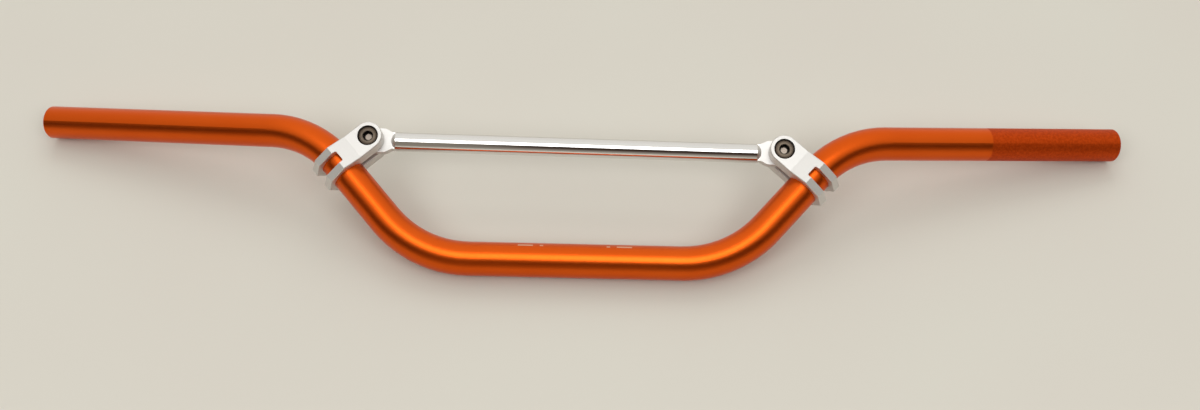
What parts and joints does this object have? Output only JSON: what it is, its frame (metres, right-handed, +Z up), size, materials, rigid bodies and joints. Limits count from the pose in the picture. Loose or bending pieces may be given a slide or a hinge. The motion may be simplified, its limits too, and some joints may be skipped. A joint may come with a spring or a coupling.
{
  "type": "motocross handlebar",
  "caption": "Off-road motorcycle handlebar: bent aluminium tube with a bolt-on crossbar held by split clamps on its legs",
  "frame": {"origin": "on the bar's axis at the middle of the straight centre section that a stem clamp holds", "axes": "+X runs along the bar's width to the side with the blasted grip, +Z points up from the table the bar lies on, +Y runs from the centre section towards the grips as they lie on that table"},
  "size_m": [0.7418, 0.1285, 0.0557],
  "materials": {
    "anodised_tube": "satin orange anodising, with one grip end blasted matte",
    "polished_rod": "polished bare metal",
    "satin_clamp": "tumbled and clear anodised",
    "steel_screw": "dark oiled steel"
  },
  "bodies": {
    "root": {"handlebar_tube": "anodised_tube", "crossbar": "polished_rod", "clamp_left": "satin_clamp", "clamp_right": "satin_clamp", "screw_left": "steel_screw", "screw_right": "steel_screw"}
  },
  "joints": []
}
